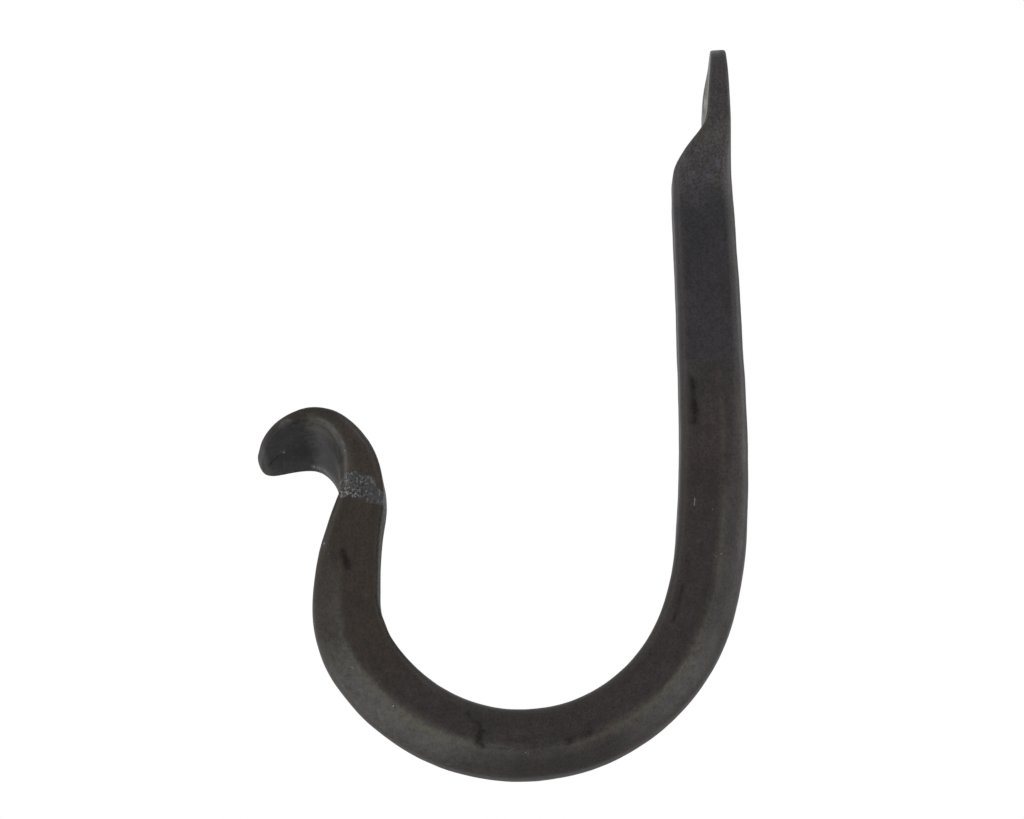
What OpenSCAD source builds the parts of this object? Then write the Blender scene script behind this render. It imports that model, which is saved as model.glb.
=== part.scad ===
// Forged J-shaped wall hook: a square bar with a flattened screw tab at the top and a
// flared, thinned lip curled outwards at the free end.
//
// Frame: the wall is the plane y = 0 and the hook stands out from it towards -Y. Z is up,
// X runs across the bar, and the origin is the centre of the screw hole on the wall.
// The bar is lofted: a path of straights and arcs carries a section whose thickness,
// width, corners and facets change along the way.

/* [Screw tab] */
// Greatest width of the tab, and the diameter of its round end
tab_w = 14; // [11:0.5:18]
// Height of the tab's tip above the screw hole
tab_reach = 6.6; // [6:0.1:9]
// Height of the flat tab from its tip to the shoulder
tab_len = 11; // [11:0.2:16]
// Thickness at the tip
tab_tip_t = 2.1; // [1.4:0.1:3]
// Thickness where the shoulder begins
tab_root_t = 3.4; // [2.2:0.1:4.5]
// Radius of the corners along the tab's edges
tab_corner = 0.5; // [0.2:0.1:0.8]

/* [Screw hole] */
// Diameter of the clearance hole
hole_d = 4.8; // [3.5:0.1:6]
// Diameter of the countersink on the room side
sink_d = 8; // [6.5:0.1:8.6]
// Angle of the countersink
sink_angle = 90; // [75:1:110]

/* [Bar] */
// Width of the bar across the hook
bar_w = 9.6; // [7:0.1:12]
// Thickness of the bar where it enters the bend, seen from the side
bar_t = 9.95; // [7:0.1:12]
// Thickness at the bottom of the bend
bend_t = 9.65; // [7:0.1:12]
// Thickness where the front of the hook has risen
rise_t = 9.4; // [7:0.1:12]
// Thickness left just under the shoulder
shank_t = 8.9; // [6:0.1:11]
// Length of the shoulder between the tab and the full bar
shoulder_len = 8.6; // [6:0.2:14]
// Depth of the hollow behind the shoulder, off the wall
back_hollow = 0.2; // [0:0.05:0.8]
// Radius of the bar's corners
bar_corner = 1.7; // [0.8:0.1:2.2]

/* [Shank and bend] */
// Drop from the screw hole to the end of the straight shank
shank_drop = 46; // [34:0.2:80]
// Radius of the slow curve off the wall
sway_r = 180; // [100:5:240]
// Turn of the slow curve
sway_turn = 6.35; // [3:0.1:9]
// Radius of the run into the bend
entry_r = 50; // [38:1:70]
// Turn of the run into the bend
entry_turn = 11.8; // [5:0.1:16]
// Radius of the main bend, to the middle of the bar
bend_r = 26.5; // [20:0.5:40]
// Turn of the main bend
bend_turn = 129.7; // [120:0.2:135]
// Radius of the rise in front
rise_r = 14.3; // [13:0.5:24]
// Turn of the rise
rise_turn = 31.8; // [26:0.2:40]
// Radius of the last lean back to the wall
lean_r = 46; // [30:1:60]
// Turn of the last lean
lean_turn = 17.5; // [8:0.1:24]

/* [Lip] */
// Radius of the neck, where the bar turns outwards
neck_r = 9.9; // [7:0.1:14]
// Turn of the neck
neck_turn = 66.8; // [60:0.2:90]
// Radius of the curl
lip_r = 5.4; // [5:0.1:10]
// Turn of the curl
lip_turn = 50.5; // [40:1:80]
// Length of the flatter run from the curl to the lip's end
lip_run = 6.7; // [4:0.2:9]
// Turn of that run
lip_run_turn = 14; // [0:1:25]
// Thickness of the neck where the thinning begins
neck_t = 6.6; // [5:0.1:8]
// Width of the lip where it is widest
lip_w = 16.8; // [11:0.5:20]
// Thickness of the lip at its end
lip_t = 1.4; // [1:0.1:2.5]
// How much thinner the curl is forged on one side
lip_thin = 1.3; // [0:0.1:1.6]
// Length of the rounded end of the lip
lip_round = 4.4; // [2:0.2:6]
// Squareness of the lip's end on the thinner side, where 2 is an ellipse
lip_square = 2.4; // [1.8:0.1:3]
// Squareness of the lip's end on the other side
lip_square_far = 2.2; // [1.8:0.1:3]
// Droop of the lip to one side
lip_droop = 11; // [0:1:20]
// Slant of the lip's end across the bar
lip_slant = 13.5; // [0:1:20]

/* [Forging facet] */
// Width of the facet hammered on the outer corners of the bend
facet_w = 3.9; // [1.5:0.1:5]
// Depth of the facet across the bar
facet_d = 1.6; // [1.2:0.1:2.6]

/* [Fineness] */
// Turn between two sections of the loft
turn_step = 6; // [4:1:10]
// Longest run between two sections
run_step = 3; // [1:0.5:6]

/* [Hidden] */
iron = [0.22, 0.21, 0.20];
half_t = bar_t / 2;
past = 1;  // how far the cutters reach past a face
round_weight = 0.7;
facet_weight = 0.16;
facet_steps = [0, 0.12, 0.3, 0.52, 0.74, 0.9, 1];  // shares of the way round a corner
corner_steps = [0, 0.25, 0.5, 0.75, 1];

// The path from the tab's tip: [length, turn in degrees], where a turn below zero bends
// the bar up and away from the wall.
function arc(r, turn) = [r * abs(turn) * PI / 180, turn];
path = [
    [tab_reach + shank_drop, 0],
    arc(sway_r, -sway_turn),
    arc(entry_r, -entry_turn),
    arc(bend_r, -bend_turn),
    arc(rise_r, -rise_turn),
    arc(lean_r, -lean_turn),
    arc(neck_r, neck_turn),
    arc(lip_r, lip_turn),
    [lip_run, lip_run_turn],
];
function length_to(k) = k == 0 ? 0 : path[k - 1][0] + length_to(k - 1);
shank_end = length_to(1);
bend_start = length_to(3);
rise_start = length_to(4);
lean_start = length_to(5);
neck_start = length_to(6);
curl_start = length_to(7);
path_end = length_to(9);

// One step along a run or an arc from pose [y, z, angle]; angle 0 points down the wall.
function advance(pose, len, turn) =
    let (a = pose[2], b = a + turn, r = turn == 0 ? 0 : len / (turn * PI / 180))
    turn == 0
        ? [pose[0] + len * sin(a), pose[1] - len * cos(a), a]
        : [pose[0] + r * (cos(a) - cos(b)), pose[1] + r * (sin(a) - sin(b)), b];

// Pose of the path at distance s from the tab's tip.
function pose_at(s, k = 0, pose = [-half_t, tab_reach, 0]) =
    let (len = path[k][0], turn = path[k][1])
    s <= len || k == len(path) - 1
        ? advance(pose, s, turn * s / len)
        : pose_at(s - len, k + 1, advance(pose, len, turn));

// Smooth value along the bar through [distance, value] knots.
function ease(u) = u * u * (3 - 2 * u);
function along(knots, s, k = 0) =
    s <= knots[0][0] ? knots[0][1]
    : k == len(knots) - 1 ? knots[k][1]
    : s > knots[k + 1][0] ? along(knots, s, k + 1)
    : let (u = (s - knots[k][0]) / (knots[k + 1][0] - knots[k][0]))
      knots[k][1] + (knots[k + 1][1] - knots[k][1]) * ease(u);

// Where the section changes, measured along the path.
shoulder_end = tab_len + shoulder_len;
neck_mid = (neck_start + curl_start) / 2;
curl_mid = (curl_start + length_to(8)) / 2;
lip_wide = path_end - lip_round;
tab_r = tab_w / 2;

// Thickness of the tab at distance s from its tip.
function tab_t(s) = tab_tip_t + (tab_root_t - tab_tip_t) * s / tab_len;

// Room-side and wall-side faces of the bar, as offsets from the path towards the wall.
// The tab's faces stay flat: its back lies on the wall and its front is one plane.
function room_face(s) =
    s < tab_len
        ? half_t - tab_t(s)
        : along([
            [tab_len, half_t - tab_root_t],
            [shoulder_end, half_t - shank_t],
            [bend_start, -half_t],
            [(bend_start + rise_start) / 2, half_t - bend_t],
            [rise_start, -half_t],
            [lean_start, half_t - rise_t],
            [neck_mid, -neck_t / 2],
            [path_end, -lip_t / 2],
        ], s);
function wall_face(s) = along([
    [tab_len, half_t],
    [shoulder_end, half_t - back_hollow],
    [(shoulder_end + shank_end) / 2, half_t],
    [lean_start, half_t],
    [neck_mid, neck_t / 2],
    [path_end, lip_t / 2],
], s);

// Half the width across the bar: round tip, waist under the tab, flared and rounded lip.
// hand is 1 or -1 for the two sides, because the lip's two corners differ.
function half_width(s, hand) =
    s < tab_r ? sqrt(s * (tab_w - s))
    : s < neck_start ? along([[tab_r, tab_r], [shoulder_end, bar_w / 2]], s)
    : along([[neck_start, bar_w / 2], [curl_mid, lip_w / 2]], s)
        * lip_rounding(s, hand > 0 ? lip_square : lip_square_far);
function lip_rounding(s, square) =
    s < lip_wide ? 1 : pow(1 - pow((s - lip_wide) / lip_round, square), 1 / square);

// The curl is forged thinner on one side than on the other.
function thinned(s, hand) =
    hand > 0 ? along([[neck_start, 0], [curl_start, lip_thin], [path_end, 0]], s) : 0;

// Radius of the corners, and how far the outer ones are hammered flat round the bend.
function corner(s) = along([[tab_len, tab_corner], [shoulder_end, bar_corner]], s);
function facet(s) = along([
    [shoulder_end, 0],
    [bend_start, 1],
    [lean_start, 1],
    [neck_start, 0],
], s);

// The lip leans and slants to one side as the bar flares.
function lip_turned(s) = along([[neck_start, 0], [curl_mid, 1]], s);

// Point at t on the conic that leaves a towards the sharp corner k and ends at b. A weight
// of 0.7 makes a round corner; less makes a flat with softened edges.
function conic(a, k, b, weight, t) =
    let (f = (1 - t) * (1 - t), g = 2 * t * (1 - t) * weight, j = t * t)
    (a * f + k * g + b * j) / (f + g + j);

// Section at s as [offset, x] points, from the wall side round each hand to the room side.
function half_section(s, hand) =
    let (
        outer = wall_face(s) - thinned(s, hand),
        inner = room_face(s),
        h = half_width(s, hand),
        r = min(corner(s), (outer - inner) / 2.6),
        fw = max(r, facet_w * facet(s)),
        fd = max(r, facet_d * facet(s)),
        weight = round_weight + (facet_weight - round_weight) * facet(s)
    )
    concat(
        [for (t = facet_steps) conic([outer, h - fd], [outer, h], [outer - fw, h], weight, t)],
        [for (t = corner_steps) conic([inner + r, h], [inner, h], [inner, h - r], round_weight, t)]
    );
function section(s) =
    let (near = half_section(s, 1), far = half_section(s, -1))
    concat(near, [for (i = [len(far) - 1:-1:0]) [far[i][0], -far[i][1]]]);

// Ring of the loft: the section placed on the path, leaning and slanting with the lip.
function ring(s) =
    let (slant = tan(lip_slant) * lip_turned(s), droop = tan(lip_droop) * lip_turned(s))
    [
        for (p = section(s))
            let (pose = pose_at(s - p[1] * slant), a = pose[2])
            [p[1], pose[0] + p[0] * cos(a), pose[1] + p[0] * sin(a) + p[1] * droop]
    ];

// Distances of the rings: by angle round the two ends, and by turn or run between them.
function steps(k) = ceil(max(path[k][0] / run_step, abs(path[k][1]) / turn_step));
curl_steps = steps(7) + steps(8);
stations = concat(
    [for (a = [15:15:75]) tab_r * (1 - cos(a))],
    [tab_r, (tab_r + tab_len) / 2],
    [for (i = [0:8]) tab_len + shoulder_len * i / 8],
    [for (i = [1:12]) shoulder_end + (shank_end - shoulder_end) * i / 12],
    [for (k = [1:6]) for (i = [1:steps(k)]) length_to(k) + path[k][0] * i / steps(k)],
    [for (i = [1:curl_steps]) curl_start + (lip_wide - curl_start) * i / curl_steps],
    [for (a = [15:15:75]) lip_wide + lip_round * sin(a)]
);

// The forged bar: rings joined by triangles, with a flat cap at each end.
module forged_bar() {
    rings = [for (s = stations) ring(s)];
    n = len(rings[0]);
    m = len(rings);
    polyhedron(
        points = [for (r = rings) each r],
        faces = concat(
            [[for (j = [0:n - 1]) j]],
            [
                for (i = [0:m - 2]) for (j = [0:n - 1])
                    let (a = i * n + j, b = i * n + (j + 1) % n)
                    each [[a, a + n, b], [b, a + n, b + n]]
            ],
            [[for (j = [n - 1:-1:0]) (m - 1) * n + j]]
        ),
        convexity = 8
    );
}

// Screw hole, and a countersink cut from the room side to its width at the hole's axis.
module screw_hole() {
    flare = tan(sink_angle / 2);
    sink_depth = (sink_d - hole_d) / 2 / flare;
    rotate([90, 0, 0]) {
        translate([0, 0, -past]) cylinder(d = hole_d, h = tab_root_t + 2 * past, $fn = 64);
        translate([0, 0, tab_t(tab_reach) - sink_depth])
            cylinder(d1 = hole_d, d2 = sink_d + 2 * past * flare, h = sink_depth + past, $fn = 64);
    }
}

module hook() {
    color(iron)
        difference() {
            forged_bar();
            screw_hole();
        }
}

hook();
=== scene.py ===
import functools
import math

import bmesh
import bpy
from mathutils import Matrix, Vector, noise


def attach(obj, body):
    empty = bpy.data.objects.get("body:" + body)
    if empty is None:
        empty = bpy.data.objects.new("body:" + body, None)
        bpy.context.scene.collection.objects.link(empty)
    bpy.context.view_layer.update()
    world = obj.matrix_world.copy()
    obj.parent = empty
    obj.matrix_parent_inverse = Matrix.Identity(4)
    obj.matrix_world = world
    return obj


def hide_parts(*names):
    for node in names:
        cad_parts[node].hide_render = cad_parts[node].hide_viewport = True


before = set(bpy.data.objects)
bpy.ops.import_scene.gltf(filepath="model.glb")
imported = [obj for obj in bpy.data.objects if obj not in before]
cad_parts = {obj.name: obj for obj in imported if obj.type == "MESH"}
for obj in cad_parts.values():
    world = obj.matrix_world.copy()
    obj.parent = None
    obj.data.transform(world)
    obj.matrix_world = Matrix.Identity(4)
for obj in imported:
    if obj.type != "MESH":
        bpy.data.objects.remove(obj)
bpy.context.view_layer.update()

# Hook. One bar of square iron, forged hot: the top is beaten out flat and round and drilled
# for a countersunk screw, the bar is bent over the horn with the outer corners of the bend
# hammered down to facets, and the free end is thinned, flared and curled away from the wall.
mm = 0.001  # the sizes are in mm: w across the bar, t through it from front to back, r a radius
bar_w, bar_t, bar_corner = 9.6, 9.95, 1.7
shank_t, bend_t, rise_t = 8.9, 9.65, 9.4
tab_w, tab_len, tab_reach, tab_tip_t, tab_root_t = 14, 11, 6.6, 2.1, 3.4
shoulder_len = 8.6
hole_r, sink_r = 2.4, 4
facet_wide, facet_deep = 3.9, 3
neck_t, lip_t, lip_w, lip_thin, lip_round = 6.6, 1.4, 16.8, 1.3, 4.4
lip_square, lip_square_far = 2.4, 2.2
lip_droop, lip_slant = math.radians(11), math.radians(13.5)


def arc(radius, turn):
    """One bend of the path: its length, and how far it turns."""
    return radius * abs(math.radians(turn)), math.radians(turn)


path = [
    (tab_reach + 46, 0),  # tab and shank
    arc(180, -6.35),  # sway off the wall
    arc(50, -11.8),  # run into the bend
    arc(26.5, -129.7),  # bend
    arc(14.3, -31.8),  # rise
    arc(46, -17.5),  # lean back
    arc(9.9, 66.8),  # neck
    arc(5.4, 50.5),  # curl
    (6.7, math.radians(14)),  # lip
]
starts = [sum(run for run, _ in path[:i]) for i in range(len(path) + 1)]
shank_end, bend_start, rise_start, lean_start, neck_start, curl_start, lip_start, path_end = (
    starts[i] for i in (1, 3, 4, 5, 6, 7, 8, 9)
)
shoulder_end = tab_len + shoulder_len
neck_mid = (neck_start + curl_start) / 2
curl_mid = (curl_start + lip_start) / 2
lip_wide = path_end - lip_round

# Everything on the bar is placed by x across it, n through it from the room side to the wall
# side, and s along it from the top of the tab, all in mm.


def pose(s):
    """Where the middle of the bar is (y, z) at s, and its direction from straight down."""
    y, z, a = -bar_t / 2, tab_reach, 0
    for i, (run, turn) in enumerate(path):
        part = s if i == len(path) - 1 else min(s, run)
        b = a + turn * part / run
        if turn:
            r = run / turn
            y, z = y + r * (math.cos(a) - math.cos(b)), z + r * (math.sin(a) - math.sin(b))
        else:
            z -= part
        a, s = b, s - part
        if s <= 0:
            break
    return y, z, a


def eased(s, *knots):
    """The value at s on smooth steps through (distance, value) knots."""
    if s <= knots[0][0]:
        return knots[0][1]
    for (s0, v0), (s1, v1) in zip(knots, knots[1:]):
        if s <= s1:
            u = (s - s0) / (s1 - s0)
            return v0 + (v1 - v0) * u * u * (3 - 2 * u)
    return knots[-1][1]


def clamped(value):
    return min(1, max(0, value))


def room_side(s):
    """The n of the face towards the room, which swells at the shoulder and dips below it."""
    if s < tab_len:
        return bar_t / 2 - tab_tip_t - (tab_root_t - tab_tip_t) * s / tab_len
    swell = eased(s, (12, 0), (15, 0.34), (17.2, 0), (20, -0.2), (24, 0))
    return -swell + eased(
        s,
        (tab_len, bar_t / 2 - tab_root_t),
        (shoulder_end, bar_t / 2 - shank_t),
        (bend_start, -bar_t / 2),
        ((bend_start + rise_start) / 2, bar_t / 2 - bend_t),
        (rise_start, -bar_t / 2),
        ((rise_start + lean_start) / 2, -bar_t / 2 - 0.04),
        (lean_start + 2, bar_t / 2 - rise_t),
        (neck_mid, -neck_t / 2),
        (path_end, -lip_t / 2),
    )


def wall_side(s):
    """The n of the face towards the wall."""
    return eased(
        s,
        (tab_len, bar_t / 2),
        (shoulder_end, bar_t / 2 - 0.2),
        ((shoulder_end + shank_end) / 2, bar_t / 2),
        (lean_start, bar_t / 2),
        (neck_mid, neck_t / 2),
        (path_end, lip_t / 2),
    )


def half_width(s, square):
    """Half of the bar's width at s. The lip ends in a curve, squarer the larger square is."""
    if s < tab_w / 2:
        return math.sqrt(s * (tab_w - s))
    if s < neck_start:
        return eased(s, (tab_w / 2, tab_w / 2), (shoulder_end, bar_w / 2))
    end = max(0, s - lip_wide) / lip_round
    spread = eased(s, (neck_start, bar_w / 2), (curl_mid, lip_w / 2))
    return spread * (1 - end**square) ** (1 / square)


def tilt(x, s):
    """How far the tab's front was hammered out of true, forward towards its far edge."""
    return 0.52 * eased(s, (1, 0), (5, 1), (8.5, 0.9), (11, 0.45), (13.5, 0)) * (0.5 - x / tab_w)


def front(x, s):
    """The n of the tab's front, with its tilt."""
    return room_side(s) - tilt(x, s)


def hammered(s):
    """How much of the facet the bar has at s, from none to all of it."""
    return eased(s, (shoulder_end, 0), (bend_start, 1), (lean_start, 1), (neck_start, 0))


def facet_span(s):
    """How wide the facet is, a little wider where the bend turns up."""
    return facet_wide * eased(s, (108, 1), (122, 1.13), (148, 1.1), (158, 1))


def rounded(a, k, b, weight, t):
    """A point on the conic that leaves a towards the sharp corner k and arrives at b."""
    f, g, j = (1 - t) ** 2, 2 * t * (1 - t) * weight, t * t
    return (a * f + k * g + b * j) / (f + g + j)


def section(s, hand):
    """Half of the bar's section at s, as (x, n) by column and row of the cap that is extruded.

    Hand is 1 for the half towards +X and -1 for the other. Column 5 is the side face, row 5
    the wall side and row -5 the room side.
    """
    inner, outer = room_side(s), wall_side(s)
    h = half_width(s, lip_square if hand > 0 else lip_square_far)
    if hand > 0:
        outer -= lip_thin * eased(s, (neck_start, 0), (curl_start, 1), (path_end, 0))
    corner = min(eased(s, (tab_len, 0.5), (shoulder_end, bar_corner)), (outer - inner) / 2.6)
    flat = hammered(s)
    uneven = 1 + 0.16 * noise.noise(Vector((s / 8, 7 * hand, 0.5)))
    facet_w = max(corner, uneven * flat * facet_span(s))
    facet_d = max(corner, facet_deep * flat)
    wall_edge, facet_edge = Vector((h - facet_d, outer - 0.1 * flat)), Vector((h, outer - facet_w))
    struck = Vector((h - 0.4 * facet_w * flat, outer - 0.7 * flat))
    crown = 0.2 * flat
    corner *= eased(s, (bend_start + 45, 1), (rise_start, 0.6), (neck_start, 0.6), (curl_start, 1))
    side_edge, room_edge = Vector((h, inner + corner)), Vector((h - corner, inner))
    points = {}
    for c, f in enumerate((0, 0.4, 0.78, 0.95)):
        points[c, 5] = Vector((wall_edge.x * f, outer + crown * (1 - 1.6 * f * f)))
    for c, f in enumerate((0, 0.4, 0.78, 0.97)):
        points[c, -5] = Vector((room_edge.x * f, inner))
    wall_corner = (4, 5), (5, 5), (5, 4), (5, 3), (5, 2), (5, 1)
    for at, t in zip(wall_corner, (0, 0.18, 0.4, 0.62, 0.86, 1)):
        points[at] = rounded(wall_edge, struck, facet_edge, 0.7 + 0.6 * flat, t)
    for r, f in ((0, 0.08), (-1, 0.48), (-2, 0.8)):
        points[5, r] = facet_edge.lerp(side_edge, f)
    room_corner = (5, -3), (5, -4), (5, -5), (4, -5)
    for at, t in zip(room_corner, (0, 0.3, 0.65, 1)):
        points[at] = rounded(side_edge, Vector((h, inner)), room_edge, 0.7, t)
    for c in range(5):
        for r in range(-4, 5):
            points[c, r] = Vector((points[c, 5].x, points[5, r].y))
    return points


def seat(ring, s):
    """Puts the vertices of one extruded cap on the bar's section at s."""
    halves = {hand: section(s, hand) for hand in (1, -1)}
    turned = eased(s, (neck_start, 0), (curl_mid, 1))
    for v in ring:
        hand = 1 if v[column] >= 0 else -1
        x, n = halves[hand][abs(v[column]), v[row]]
        x *= hand
        n -= tilt(x, s) * clamped((-v[row] - 1) / 3)
        at = s - x * math.tan(lip_slant) * turned
        y, z, a = pose(at)
        z += x * math.tan(lip_droop) * turned
        v.co = Vector((x, y + n * math.cos(a), z + n * math.sin(a)))
        v[place] = (x, n, at)


def even(first, last, step):
    """Stations after first and up to last, evenly spaced and at most a step apart."""
    count = math.ceil((last - first) / step)
    return [first + (last - first) * k / count for k in range(1, count + 1)]


block_start, block_end = 2, 11.5
stations = [0.06, 0.35, 0.95, block_start, 4.3, tab_reach, 9, block_end]
for first, last, step in (
    (block_end, shoulder_end, 1.3),
    (shoulder_end, bend_start, 1.7),
    (bend_start, lean_start, 1.5),
    (lean_start, neck_start, 1.5),
    (neck_start, lip_start, 1.1),
    (lip_start, lip_wide, 1.1),
):
    stations += even(first, last, step)
stations += [lip_wide + lip_round * math.sin(math.radians(d)) for d in (18, 34, 48, 60, 71, 80)]

bar = bmesh.new()
column = bar.verts.layers.int.new("column")
row = bar.verts.layers.int.new("row")
place = bar.verts.layers.float_vector.new("place")
bmesh.ops.create_grid(bar, x_segments=10, y_segments=10, size=1)
for v in bar.verts:
    v[column] = round(v.co.x * 5)
    v[row] = round(v.co.y * 5)
seat(bar.verts, stations[0])
cap = list(bar.verts) + list(bar.edges) + list(bar.faces)
for s in stations[1:]:
    cap = bmesh.ops.extrude_face_region(bar, geom=cap)["geom"]
    seat([v for v in cap if isinstance(v, bmesh.types.BMVert)], s)

# The screw hole: a block of four by four faces is cut out of each side of the tab, and its
# rim is drawn in to a circle, down the countersink and through to the back.


def opened(side):
    """Cuts the block out of one side of the tab and returns its rim."""

    def in_block(v):
        along_it = block_start - 0.01 < v[place].z < block_end + 0.01
        return along_it and abs(v[column]) <= 2 and v[row] == side

    block = [f for f in bar.faces if all(in_block(v) for v in f.verts)]
    rim = {e for f in block for e in f.edges}
    bmesh.ops.delete(bar, geom=block, context="FACES")
    return [e for e in rim if e.is_valid and len(e.link_faces) == 1]


def drawn(rim, radius, depth):
    """Extrudes a rim once more onto a circle of this radius, at the depth n that depth gives."""
    sixteenth = math.radians(22.5)
    grown = bmesh.ops.extrude_edge_only(bar, edges=rim)["geom"]
    for v in (g for g in grown if isinstance(g, bmesh.types.BMVert)):
        turn = round(math.atan2(v[place].x, v[place].z - tab_reach) / sixteenth) * sixteenth
        x, at = radius * math.sin(turn), tab_reach + radius * math.cos(turn)
        n = depth(x, at)
        v.co = Vector((x, n - bar_t / 2, tab_reach - at))
        v[place] = (x, n, at)
    return [g for g in grown if isinstance(g, bmesh.types.BMEdge)]


crisp = 0.25  # the hole's edges are held by a second ring this far off
throat = room_side(tab_reach) + sink_r - hole_r
room_rim, wall_rim = opened(-5), opened(5)
for radius, depth in (
    (sink_r + 0.35, front),
    (sink_r, front),
    (sink_r - crisp, lambda x, at: front(x, at) + crisp),
    (hole_r + crisp, lambda x, at: throat - crisp),
    (hole_r, lambda x, at: throat),
    (hole_r, lambda x, at: throat + crisp),
):
    room_rim = drawn(room_rim, radius, depth)
for radius, inset in ((hole_r + 0.5, 0), (hole_r + 0.15, 0), (hole_r, 0.15)):
    wall_rim = drawn(wall_rim, radius, lambda x, at: bar_t / 2 - inset)
bmesh.ops.bridge_loops(bar, edges=room_rim + wall_rim)
bmesh.ops.recalc_face_normals(bar, faces=bar.faces)
bmesh.ops.scale(bar, verts=bar.verts, vec=(mm, mm, mm))

cage = bpy.data.meshes.new("hook_cage")
bar.to_mesh(cage)
bar.free()
caged_hook = bpy.data.objects.new("hook_cage", cage)
bpy.context.collection.objects.link(caged_hook)
rounding = caged_hook.modifiers.new("rounding", "SUBSURF")
rounding.levels = rounding.render_levels = 2
finished = caged_hook.evaluated_get(bpy.context.evaluated_depsgraph_get())
hook_mesh = bpy.data.meshes.new_from_object(finished)
bpy.data.objects.remove(caged_hook)
hook_mesh.name = "forged_hook"
hook_mesh.polygons.foreach_set("use_smooth", [True] * len(hook_mesh.polygons))

# What the forging and the years left on it, and painted highlights along the facets' inner edge.
# A mark is a line of (s, n) points on the side towards +X, or of (s, x) points on the lip's inner
# face, with its half width in mm. A groove also has its depth, and the others how strongly they
# show, where 1 is fully.
side_grooves = (
    ([(50.3, -2.75), (53.2, -2.6), (56.2, -2.75)], 0.36, 0.14),
    ([(80.9, -3.05), (83.7, -2.95), (86.8, -2.9)], 0.18, 0.05),
    ([(125.4, -2.8), (124.1, -2.1), (123.4, -2.1), (122.95, -1.15), (122.2, -1.1)], 0.24, 0.1),
    ([(122.2, -1.1), (122.9, -0.7), (122.9, 0.75), (122, 1.05)], 0.32, 0.12),
    ([(122, 1.05), (118, 0.95), (113.7, 0.9)], 0.1, 0.03),
    ([(110.6, 0.8), (109.2, 0.5), (107.3, 0.6)], 0.32, 0.09),
    ([(158.8, 0.8), (157.6, 0.2), (156.6, 0.1)], 0.4, 0.08),
    ([(156.6, 0.15), (154.8, 0.5), (151.9, 0.2), (149.1, 0.45), (146.3, 0.8)], 0.3, 0.02),
    ([(37.5, 3.3), (38.7, 4), (39.9, 4.1)], 0.1, 0.02),
)
side_flecks = (
    ([(135.1, 1.3), (135.7, 1.1)], 0.2, 0.9),
    ([(41.4, 2.9)], 0.11, 0.95),
    ([(67.6, -2.65), (68.8, -2.7)], 0.08, 1.1),
    ([(69.3, 0)], 0.15, 1.05),
    ([(71.2, -0.15), (71.5, -0.5)], 0.1, 1.05),
    ([(74.7, -2.5)], 0.12, 1),
    ([(74.3, 0.15)], 0.12, 1),
    ([(75.7, 0.9)], 0.12, 1.05),
    ([(75.2, 1.5)], 0.12, 1),
    ([(77.1, 0.95)], 0.12, 0.95),
    ([(145, 0.95)], 0.18, 1.05),
    ([(142.9, 1.9)], 0.2, 0.95),
    ([(116.3, 1.5)], 0.15, 1.05),
    ([(159.5, 3.7)], 0.18, 1.05),
    ([(158.2, 2.9)], 0.12, 1),
    ([(172.6, 0.75)], 0.12, 0.9),
)
side_rubs_and_highlights = (
    ([(179.7, 0.45), (178, 0.6), (176.6, 0.55), (175.2, 0.6)], 0.8, 0.85),
    ([(175.2, 0.6), (173.7, 0.6), (172.6, 0.75), (171.6, 0.75), (170.4, 0.9)], 0.7, 0.6),
    ([(53.4, 3.9), (57.4, 3.8)], 0.4, 0.5),
    # These two run along the facets' inner edge and are painted highlight.
    ([(146, 1.3), (141, 1.6), (135.5, 1.5), (130, 1.9)], 0.6, 0.6),
    ([(106, 1.4), (100, 1.6), (94, 1.7), (88, 1.8)], 0.7, 0.8),
    ([(14, -1), (14, 3)], 3, 0.35),
)
lip_grooves = (
    ([(172.4, 6.4), (174.2, 6.85), (175.9, 7.1), (177.7, 7.2), (179.5, 7.1)], 0.6, 0.2, 0.6),
    ([(187.4, -3.6), (186.5, -2.2), (184.8, -0.6)], 0.16, 0.07, 0.8),
)
lip_flecks = (
    ([(184.7, -0.47)], 0.2, 1.3),
    ([(180.3, -5.6), (178.6, -5.1), (176.8, -4.6), (174.8, -3.9)], 0.45, 0.9),
)
filed = Vector((0.83, -0.33, -0.45)).normalized()  # the way the lip's filed corner faces
filed_at, filed_reach = Vector((7.16, -66.67, -48.12)), 3.2
ripples = (0.06, 6), (0.028, 2.6), (0.012, 1.1)  # the hammered surface: heights and sizes
facet_light_levels = (  # how bright the facet is by s: hammered iron a little lighter, and painted light where the bend faces the lamps
    (84, 0.4),
    (94, 0.9),
    (106, 0.38),
    (119, 0.4),
    (128, 1.05),
    (136, 1.2),
    (144, 1.1),
    (154, 0.4),
)


def reach(at, line):
    """How far a point lies from a line of points, in mm."""
    best = math.inf
    for a, b in zip(line, line[1:] or line):
        dx, dy = b[0] - a[0], b[1] - a[1]
        t = clamped(((at[0] - a[0]) * dx + (at[1] - a[1]) * dy) / (dx * dx + dy * dy or 1))
        best = min(best, math.hypot(at[0] - a[0] - t * dx, at[1] - a[1] - t * dy))
    return best


def beside(s, line, margin):
    """Whether s is within a margin of a line's two ends, so that the line can reach it."""
    first, last = line[0][0], line[-1][0]
    return min(first, last) - margin < s < max(first, last) + margin


def side_marks(at, s, n):
    """What the side's marks do at a point: (push outwards in mm, dark, bare, rub with painted
    highlight).
    """
    push = dark = bare = rub_and_highlight = 0
    for line, half, depth in side_grooves:
        if beside(s, line, 2):
            d = reach((s, n), line) / (half * (1 + 0.4 * noise.noise(at / 1.4)))
            push -= depth * math.exp(-d * d)
            shade = (1.15 - 0.36 * d) * min(1, depth / 0.06)
            dark = max(dark, shade * (0.9 + 0.55 * noise.noise(at / 1.6)))
    for line, half, much in side_rubs_and_highlights:
        if beside(s, line, 7):
            d = reach((s, n), line) / half
            rub_and_highlight = max(rub_and_highlight, much * math.exp(-d * d))
    for line, half, much in side_flecks:
        if beside(s, line, 2):
            d = reach((s, n), line) / (half * (1 + 0.5 * noise.noise(at / 0.5)))
            bare = max(bare, much - 0.3 * d)
    return push, dark, bare, rub_and_highlight


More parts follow.
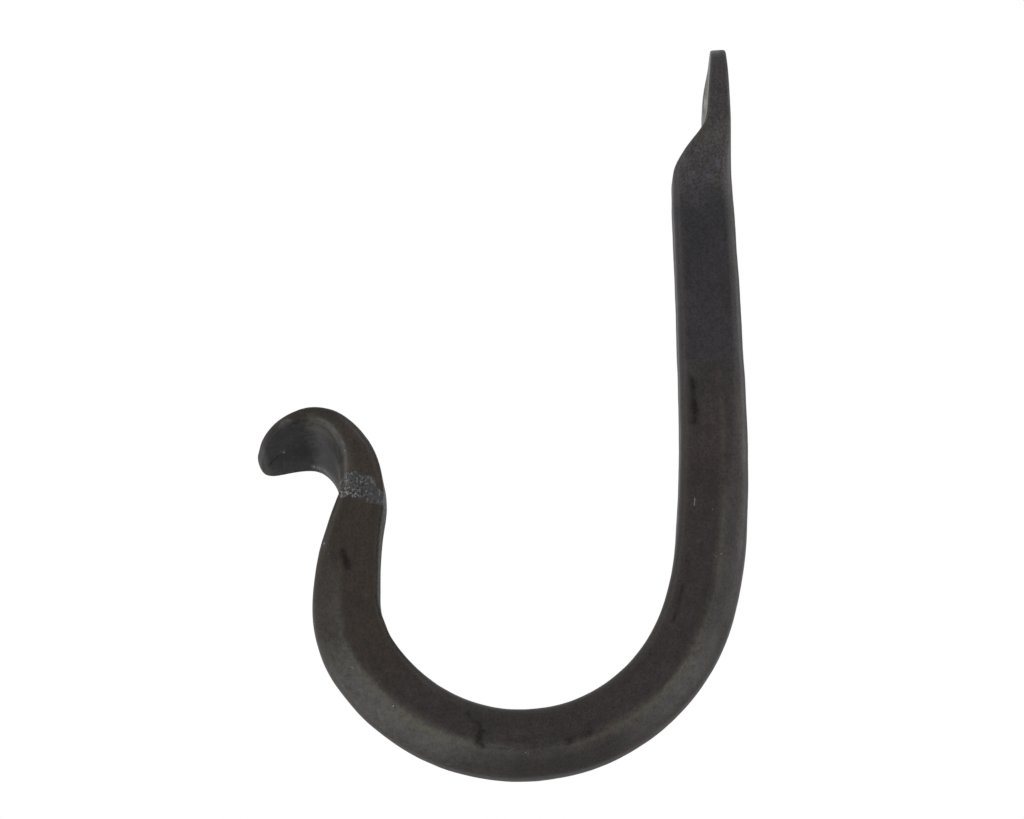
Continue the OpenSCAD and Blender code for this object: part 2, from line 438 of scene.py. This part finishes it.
def lip_marks(at, s, x, inside):
    """What the marks on the lip's inner face do at a point: (push, dark, bare)."""
    push = dark = bare = 0
    for line, half, much in lip_flecks:
        d = reach((s, x), line) / (half * (1 + 0.6 * noise.noise(at / 0.4)))
        bare = max(bare, inside * (much - 0.3 * d))
    for line, half, depth, much in lip_grooves:
        d = reach((s, x), line) / half
        push -= inside * depth * math.exp(-d * d)
        dark = max(dark, inside * (much - 0.6 * d))
    return push, dark, bare


def torn_scale(at, x, n, s):
    """Where the scale has torn off the neck, down to grey metal: (push, bare)."""
    ragged = noise.noise(at / 0.9) + 0.6 * noise.noise(at / 0.4)
    low = 166 + (0.5 * ragged + 0.5 if n > -0.8 else 0.03 * ragged)
    top = eased(
        n, (-3.4, 167.3), (-2.9, 167.8), (-1.9, 169.1), (-0.1, 169.7), (1, 170.2), (2.2, 169.6)
    )
    into = min(s - low, (top + 0.7 * ragged - s) * 0.7, (x - 2.2 + 2.2 * ragged) * 0.5)
    if into <= -0.3 or x <= 0:
        return 0, 0
    pitting = noise.noise(at / 0.5)
    bright = 0.14 * clamped(1.2 - abs(s - 166.9)) * clamped(n + 0.6) + 0.1 * clamped(-0.6 - n)
    push = clamped(into * 3) * (0.06 * pitting - 0.08)
    return push, clamped(into * 4 + 0.5) * (0.66 + 0.12 * pitting + bright)


@functools.cache
def limits(fifths):
    """The bar's faces, half widths and share of facet, this many fifths of a mm along it."""
    at = min(max(fifths / 5, 0.1), path_end - 0.1)
    halves = half_width(at, lip_square), half_width(at, lip_square_far)
    return room_side(at), wall_side(at), *halves, hammered(at)


places = [Vector(a.vector) for a in hook_mesh.attributes["place"].data]
points = [v.co / mm for v in hook_mesh.vertices]
normals = [v.normal.copy() for v in hook_mesh.vertices]
fields = {name: [0.0] * len(places) for name in ("dark", "bare", "worn_and_highlit", "struck")}
for i, at in enumerate(points):
    x, n, s = places[i]
    inner, outer, near, far, flat = limits(round(s * 5))
    side = near if x > 0 else far

    # How near the point is to the side face, the wall side and the room side, and whether it
    # is in a facet, on the lip's inner face or on the tab, each from 0 to 1.
    out = clamped((abs(x) - side + 1.7) / 1.5)
    up, down = clamped((n - outer + 1.7) / 1.5), clamped((inner + 1.7 - n) / 1.5)
    across = (n - outer) / facet_span(s) + 1  # 0 at the facet's inner edge, 1 at its outer one
    in_facet = flat * clamped((across * facet_wide + 0.3) / 0.5)
    in_facet *= clamped((abs(x) - side + facet_deep + 0.2) / 0.6)
    inside = clamped((s - neck_mid) / 2) * clamped((n - 0.2) / 0.4)
    tab = clamped((tab_len + 1 - s) / 2)

    # The hammered surface, and the bare steel that the drill left.
    push = sum(height * noise.noise(at / size) for height, size in ripples)
    push += 0.07 * in_facet * noise.noise(at / 4 + Vector((9, 0, 0)))
    push *= 1 - 0.75 * tab
    dark = bare = rub_and_highlight = 0
    if s < tab_len and n < bar_t / 2 - 0.5:
        bare = 1.5 * clamped(0.4 + 3 * (sink_r - math.hypot(x, s - tab_reach)))

    # The single marks.
    if x > max(0, side - 3):
        more, dark, fleck, rub_and_highlight = side_marks(at, s, n)
        push, bare = push + more, max(bare, fleck)
    if inside:
        more, groove, fleck = lip_marks(at, s, x, inside)
        push, dark, bare = push + more, max(dark, groove), max(bare, fleck)
    more, torn = torn_scale(at, x, n, s)
    push, bare = push + more, max(bare, torn)

    # Painted shade: darker along the rise's inner face, in the neck's corners and over the outer
    # part of the facet, where shade falls.
    for much, *along_bar in (
        (0.55 * down, (133, 0), (142, 1), (164, 1), (170, 0)),
        (0.8 * out * down**3, (142, 0), (150, 1), (170, 1), (177, 0)),
        (0.8 * out * up**3, (157, 0), (162, 1), (167, 1), (171, 0)),
        (0.5 * in_facet * clamped(4 * across - 0.8), (100, 0), (106, 1), (116, 1), (123, 0)),
    ):
        dark = max(dark, much * eased(s, *along_bar))

    # Wear on the filed corner and on the bar's edges, and a painted highlight along the facet's
    # inner edge, strongest where the bend turns up.
    at = at + normals[i] * push
    over = (at - filed_at).dot(filed)
    if over > 0 and (at - filed_at).length < filed_reach:
        at -= filed * over
        rub_and_highlight = max(rub_and_highlight, 1.3 * clamped(over / 0.05) * clamped(0.55 - n))
    points[i] = at * mm
    wall_worn = up * (1 - in_facet) * eased(s, (32, 1), (50, 0.4), (74, 0.4), (88, 1))
    room_worn = down if s < 135 else 0
    edge_worn = 0.35 * out * max(wall_worn, room_worn)
    crease_wide = eased(s, (122, 0.5), (132, 1), (142, 0.85), (149, 0.5))
    crease = 0
    if abs(x) > side - 1:
        crease = flat * math.exp(-(((n - outer + facet_wide - 0.3) / crease_wide) ** 2))
        crease *= clamped(0.4 + crease_wide / 3 + 1.5 * noise.noise(Vector((s / 7, 4, x / 3))))
        crease *= eased(s, (140, 1), (149, 0.15))

    # Painted light: the facet is brighter where the bend faces the lamps, with a painted highlight
    # near its inner edge.
    level = eased(s, *facet_light_levels)
    level += eased(s, (88, 0.1), (98, 1)) * (0.65 * math.exp(-5 * max(0, across)) - 0.22)
    fields["dark"][i] = dark
    fields["bare"][i] = bare
    fields["worn_and_highlit"][i] = max(rub_and_highlight, edge_worn, (0.2 + 1.2 * crease_wide) * crease)
    fields["struck"][i] = in_facet * max(0, level)
hook_mesh.vertices.foreach_set("co", [c for point in points for c in point])
for name, values in fields.items():
    hook_mesh.attributes.new(name, "FLOAT", "POINT").data.foreach_set("value", values)
hook = bpy.data.objects.new("forged_hook", hook_mesh)
bpy.context.collection.objects.link(hook)

# Its skin: black forge scale, cooler at the top and browner low down, a little lighter where
# the hammer or use has rubbed it, dull red in the dents, and bare metal where it has torn off.
# It also holds painted light and shade: painted light on the facets with a painted highlight
# along their inner edge, and painted shade, in the dents' dull red, on the rise's inner face,
# in the neck's corners and on the facet's outer part, and on the lip's inner face, darkest deep
# in its curl.
iron = bpy.data.materials.new("forged_iron")
iron.use_nodes = True
tree = iron.node_tree
skin = tree.nodes["Principled BSDF"]


def fill(socket, value):
    """Links an input to another node's output, or sets it to a number or a colour."""
    if isinstance(value, bpy.types.NodeSocket):
        tree.links.new(value, socket)
    elif value is not None:
        socket.default_value = value


def add(kind, *inputs, **settings):
    """Adds a node to the tree at hand, sets it up and fills its inputs in order."""
    made = tree.nodes.new("ShaderNode" + kind)
    for name, value in settings.items():
        setattr(made, name, value)
    for socket, value in zip((i for i in made.inputs if i.enabled), inputs):
        fill(socket, value)
    return made


def sum_of(first, *others):
    for other in others:
        first = add("Math", first, other, operation="ADD").outputs[0]
    return first


def product(first, *others):
    for other in others:
        first = add("Math", first, other, operation="MULTIPLY").outputs[0]
    return first


def ramp(value, low, high, to_low=0, to_high=1):
    """A smooth step of the value from low to high. Low may be the larger of the two."""
    made = add("MapRange", value, low, high, to_low, to_high, interpolation_type="SMOOTHSTEP")
    return made.outputs[0]


def spots(where, size, detail=2, roughness=0.55):
    """Noise between 0 and 1, with spots about this many mm across."""
    return add("TexNoise", where, 1000 / size, detail, roughness).outputs[0]


def blend(factor, a, b, kind="MIX"):
    """Colour a mixed with colour b, or multiplied by it, as far as the factor says."""
    made = add("Mix", data_type="RGBA", blend_type=kind)
    for socket, value in zip((made.inputs[0], made.inputs[6], made.inputs[7]), (factor, a, b)):
        fill(socket, value)
    return made.outputs[2]


here = add("TexCoord").outputs["Object"]
broad, cloudy, mottled = spots(here, 14, 3), spots(here, 4, 4, 0.6), spots(here, 1.3, 3, 0.65)
pits, grain, fine = spots(here, 0.75, 4, 0.75), spots(here, 0.36, 2, 0.65), spots(here, 0.22, 1)
tint = spots(here, 0.36, 1)
speckled = sum_of(grain, product(fine, 0.5))
pitted = sum_of(pits, -0.5)

# Patterns that follow the bar read the place that each point has on it, in mm.
place_on_bar = add("Attribute", attribute_name="place").outputs["Vector"]
x_on_bar, n_on_bar, s_on_bar = add("SeparateXYZ", place_on_bar).outputs
drawn_out = add("CombineXYZ", x_on_bar, n_on_bar, product(s_on_bar, 0.1)).outputs[0]
streaks = add("TexNoise", drawn_out, 2.2, 3, 0.6).outputs[0]
dark_mark, bare_mark, worn_and_highlit_mark, struck_and_lit_mark = (
    add("Attribute", attribute_name=name).outputs["Fac"] for name in fields
)

# The colour of the scale by mm along the bar, with stops that wander a little.
scale_length = 200
wandering = sum_of(s_on_bar, product(sum_of(broad, -0.5), 30))
by_length = add("ValToRGB", product(wandering, 1 / scale_length))
stops = by_length.color_ramp.elements
for mm_along, shade in (
    (0, (0.0185, 0.0175, 0.0195, 1)),
    (16.4, (0.0400, 0.0380, 0.0390, 1)),
    (23.6, (0.0110, 0.0098, 0.0125, 1)),
    (44, (0.0170, 0.0148, 0.0172, 1)),
    (52, (0.0228, 0.0155, 0.0163, 1)),
    (64, (0.0150, 0.0084, 0.0090, 1)),
    (78, (0.0170, 0.0114, 0.0113, 1)),
    (130, (0.0168, 0.0114, 0.0110, 1)),
    (150, (0.0195, 0.0122, 0.0062, 1)),
    (164, (0.0190, 0.0122, 0.0054, 1)),
    (180, (0.0180, 0.0120, 0.0075, 1)),
):
    stop = stops.new(mm_along / scale_length) if mm_along else stops[0]
    stop.color = shade
stops.remove(stops[-1])
# Painted shade: the lip's inner face is darkened, and darkest deep in its curl.
lip_black, lip_deep_shade = (0.0120, 0.0107, 0.0110, 1), (0.0042, 0.0026, 0.0040, 1)
on_lip = product(ramp(s_on_bar, 171.5, 174.5), ramp(n_on_bar, -0.4, 0.6))
ragged_end = ramp(sum_of(s_on_bar, product(mottled, 3)), 180, 183)
inmost = product(on_lip, ramp(s_on_bar, 187.7, 186.7), ragged_end)
colour = blend(on_lip, by_length.outputs[0], lip_black)
colour = blend(inmost, colour, lip_deep_shade)

# Grains of olive and violet, and lighter and darker clouds, streaks and grains.
olive = blend(1, colour, (1.14, 1.04, 0.8, 1), "MULTIPLY")
violet = blend(1, colour, (0.93, 0.9, 1.13, 1), "MULTIPLY")
colour = blend(ramp(tint, 0.4, 0.6), olive, violet)
clouds = sum_of(product(cloudy, 0.7), product(mottled, 0.7), product(streaks, 0.5))
tone = product(ramp(clouds, 0.6, 1.3, 0.5, 1.5), ramp(speckled, 0.5, 1, 0.45, 1.55))
tone = sum_of(tone, product(on_lip, pitted, 2.5))
colour = blend(1, colour, add("CombineXYZ", tone, tone, tone).outputs[0], "MULTIPLY")

# Hammered facets, a little lighter olive with painted light on them; rubbed edges, with a painted
# highlight along the facets' inner edge; and the lip's inner face brushed across by what hung on
# it.
hammered_and_lit_olive, rubbed_and_highlit_tan = (0.045, 0.0432, 0.036, 1), (0.059, 0.0525, 0.036, 1)
brushed_grey = (0.036, 0.036, 0.034, 1)
patchy = ramp(sum_of(cloudy, product(pits, 1.5)), 1, 1.5, 0.1, 0.95)
colour = blend(product(struck_and_lit_mark, patchy), colour, hammered_and_lit_olive)
colour = blend(product(worn_and_highlit_mark, ramp(pits, 0.35, 0.65, 0.3, 1)), colour, rubbed_and_highlit_tan)
widened = add("CombineXYZ", product(x_on_bar, 0.12), n_on_bar, s_on_bar).outputs[0]
brushed = sum_of(add("TexNoise", widened, 2.6, 3, 0.7).outputs[0], product(pitted, 0.8))
colour = blend(product(on_lip, ramp(brushed, 0.5, 0.72), 0.4), colour, brushed_grey)

# Dents, and the painted shade on the rise, in the neck's corners and on the facet's outer part,
# dull red with a grainy edge; and the torn scale: flakes that still lie, and bright iron between.
dent_and_shade_red, bright_iron = (0.0035, 0.001, 0.0012, 1), (0.27, 0.258, 0.236, 1)
flake_dark, flake_grey = (0.014, 0.013, 0.014, 1), (0.055, 0.055, 0.059, 1)
# Painted shade: the dark field holds the shade of the rise, the neck's corners and the facet as
# well as the dents.
dents_and_shade = ramp(sum_of(dark_mark, product(sum_of(grain, -0.5), 1.4)), 0.1, 1.15)
colour = blend(product(dents_and_shade, 0.75), colour, dent_and_shade_red)
slanted = sum_of(n_on_bar, product(s_on_bar, -0.8)), sum_of(s_on_bar, n_on_bar)
flaked = add("TexNoise", add("CombineXYZ", x_on_bar, *slanted).outputs[0], 2, 4, 0.8).outputs[0]
flakes = product(sum_of(flaked, -0.5), ramp(n_on_bar, -1.8, -0.3, 0.6, 2.2))
stripped = ramp(sum_of(bare_mark, product(flakes, 0.5)), 0.4, 0.6)
shining = ramp(sum_of(bare_mark, product(flakes, 1.1)), 0.72, 1.05)
colour = blend(stripped, colour, blend(ramp(flakes, -0.25, 0.05), flake_dark, flake_grey))
colour = blend(shining, colour, bright_iron)

# Gloss: satin, smoother on the tab's flat front, duller in the dents and the painted shade and
# deep inside the lip, where it is also partly metallic, which cuts the reflection as more painted
# shade. The darkest grains glint, and the grain and the hammer's pits stand out a little.
satin = ramp(sum_of(mottled, product(grain, 0.5)), 0.4, 1.1, 0.36, 0.5)
duller = sum_of(product(dents_and_shade, 0.5), product(inmost, 0.15), product(worn_and_highlit_mark, 0.06))
tab_front = product(ramp(s_on_bar, 13, 10), ramp(n_on_bar, 4.3, 3.7), ramp(x_on_bar, 6.5, 6))
glinting = product(ramp(speckled, 0.85, 0.55), 0.1)
metallic = sum_of(glinting, product(inmost, 0.25), product(stripped, 0.4), product(dents_and_shade, 0.2))
grainy = sum_of(product(grain, 0.6), product(fine, 0.3), product(streaks, 0.3))
relief = add("Bump", 0.6, 0.00006)
fill(relief.inputs["Height"], sum_of(grainy, product(pits, struck_and_lit_mark, 3)))
fill(skin.inputs["Base Color"], colour)
fill(skin.inputs["Metallic"], metallic)
fill(skin.inputs["Roughness"], sum_of(satin, duller, product(tab_front, -0.17)))
fill(skin.inputs["Normal"], relief.outputs[0])
skin.inputs["Specular IOR Level"].default_value = 0.5
hook_mesh.materials.append(iron)
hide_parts("hook")
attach(hook, "root")

# Studio. A pale matt floor under the hook, an even white surround that lights it softly, and
# six square lamps that stand round it, each named for its place as the camera sees it.
floor_half, floor_height, floor_white = 3, -0.5, (0.82, 0.82, 0.82, 1)
shape = bmesh.new()
bmesh.ops.create_grid(shape, x_segments=1, y_segments=1, size=floor_half)
bmesh.ops.translate(shape, verts=shape.verts, vec=(0, 0, floor_height))
floor_mesh = bpy.data.meshes.new("floor")
shape.to_mesh(floor_mesh)
shape.free()
floor = bpy.data.objects.new("floor", floor_mesh)
bpy.context.collection.objects.link(floor)
floor_paint = bpy.data.materials.new("floor_paint")
floor_paint.use_nodes = True
paint = floor_paint.node_tree.nodes["Principled BSDF"]
paint.inputs["Base Color"].default_value = floor_white
paint.inputs["Roughness"].default_value = 0.7
floor_mesh.materials.append(floor_paint)

seen_strength, lighting_strength = 1, 0.57
world = bpy.data.worlds.new("surround")
world.use_nodes = True
bpy.context.scene.world = world
tree = world.node_tree
seen = tree.nodes["Background"]
fill(seen.inputs["Color"], (1, 1, 1, 1))
fill(seen.inputs["Strength"], seen_strength)
lighting = add("Background", (1, 1, 1, 1), lighting_strength)
to_camera = add("LightPath").outputs["Is Camera Ray"]
surround = add("MixShader", to_camera, lighting.outputs[0], seen.outputs[0])
fill(tree.nodes["World Output"].inputs["Surface"], surround.outputs[0])

lit_point, lamp_away, lamp_size = Vector((0, -0.035, -0.045)), 0.7, 0.3
for name, turned, raised, watts in (
    ("lamp_low_left", -44, -34, 1.45),
    ("lamp_behind_left", -100, -34, 0.63),
    ("lamp_high_left", -78, 28, 0.35),
    ("lamp_low_right", 66, -30, 0.85),
    ("lamp_behind_right", 96, 8, 0.66),
    ("lamp_high_right", 60, 28, 0.52),
):
    raising = Matrix.Rotation(math.radians(-raised), 3, "Y")
    turning = Matrix.Rotation(math.radians(turned), 3, "Z")
    outward = (turning @ raising @ Vector((1, 0, 0))).normalized()
    lamp_data = bpy.data.lights.new(name, "AREA")
    lamp_data.size = lamp_size
    lamp_data.energy = watts
    lamp = bpy.data.objects.new(name, lamp_data)
    lamp.location = lit_point + lamp_away * outward
    lamp.rotation_euler = (-outward).to_track_quat("-Z", "Y").to_euler()
    bpy.context.collection.objects.link(lamp)

# Camera. It stands on the +X side, a little below the hook and looking up at it, so that
# the underside of the lip shows. A long lens keeps the side of the hook almost flat on.
camera_at = (0.45973, -0.03355, -0.14352)
looking_up, leaning = math.radians(12), math.radians(2.55)
sight = Vector((-math.cos(looking_up), 0, math.sin(looking_up)))
overhead = Vector((math.sin(looking_up), 0, math.cos(looking_up)))
rightward = Vector((0, math.cos(leaning), 0)) - math.sin(leaning) * overhead
upward = rightward.cross(sight)
camera_data = bpy.data.cameras.new("camera")
camera_data.sensor_width = 36
camera_data.lens = 114.75
camera_data.clip_start = 0.01
camera = bpy.data.objects.new("camera", camera_data)
facing = Matrix((rightward, upward, -sight)).transposed().to_4x4()
camera.matrix_world = Matrix.Translation(camera_at) @ facing
bpy.context.collection.objects.link(camera)
bpy.context.scene.camera = camera
bpy.context.scene.view_settings.view_transform = "Standard"
